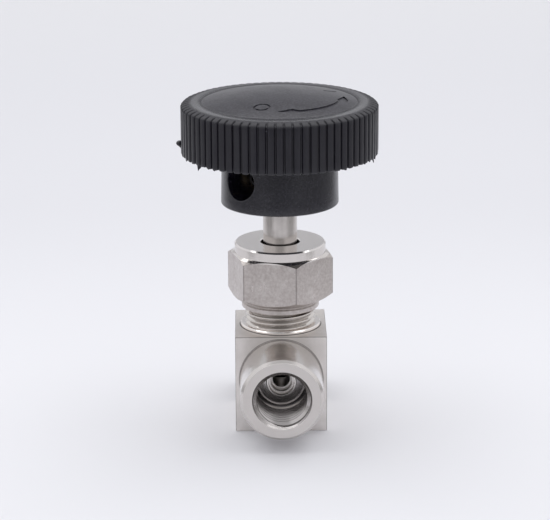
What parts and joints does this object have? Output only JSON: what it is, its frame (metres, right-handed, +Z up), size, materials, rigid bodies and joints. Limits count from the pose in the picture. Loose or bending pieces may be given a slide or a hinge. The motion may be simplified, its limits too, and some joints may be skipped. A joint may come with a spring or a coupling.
{
  "type": "needle valve",
  "caption": "Needle valve with a square bar body, two in-line threaded ports, a hexagon gland nut, a bare rising stem and a ribbed round handwheel.",
  "frame": {"origin": "on the stem axis, in the plane of the body's flat base", "axes": "+Z up along the stem, -Y out of the outlet port, +Y out of the inlet port"},
  "size_m": [0.046, 0.0518, 0.0796],
  "materials": {
    "body_steel": "satin, blasted port faces",
    "gland_steel": "satin flats, turned bright collar",
    "stem_steel": "ground",
    "needle_steel": "ground and hardened",
    "packing": "matt, waxy",
    "phenolic": "moulded, semi-gloss",
    "brass": "turned",
    "screw_steel": "black oxide"
  },
  "bodies": {
    "valve": {"valve_body": "body_steel", "packing_washer": "gland_steel", "packing_base_ring": "packing", "packing_ring_1": "packing", "packing_ring_2": "packing", "packing_ring_3": "packing", "packing_top_ring": "packing"},
    "needle": {"needle_tip": "needle_steel"},
    "spindle": {"stem": "stem_steel", "handwheel": "phenolic", "handwheel_insert": "brass", "set_screw": "screw_steel"},
    "gland": {"gland_follower": "gland_steel"},
    "nut": {"gland_nut": "gland_steel"}
  },
  "joints": [
    {"name": "stem_lift", "type": "slide", "parent": "valve", "child": "needle", "axis": [0, 0, 1], "range_m": [-0.002, 0.003]},
    {"name": "handwheel_turn", "type": "hinge", "parent": "needle", "child": "spindle", "pos_m": [0, 0, 0.0605], "axis": [0, 0, 1], "range_deg": [-720, 1080]},
    {"name": "gland_lift", "type": "slide", "parent": "valve", "child": "gland", "axis": [0, 0, 1], "range_m": [0, 0.00134]},
    {"name": "gland_nut_turn", "type": "hinge", "parent": "gland", "child": "nut", "pos_m": [0, 0, 0.036], "axis": [0, 0, 1], "range_deg": [0, 360]}
  ],
  "couplings": [
    {"joint": "stem_lift", "follows": "handwheel_turn", "m_per_rad": 0.00015915},
    {"joint": "gland_lift", "follows": "gland_nut_turn", "m_per_rad": 0.00021279}
  ]
}
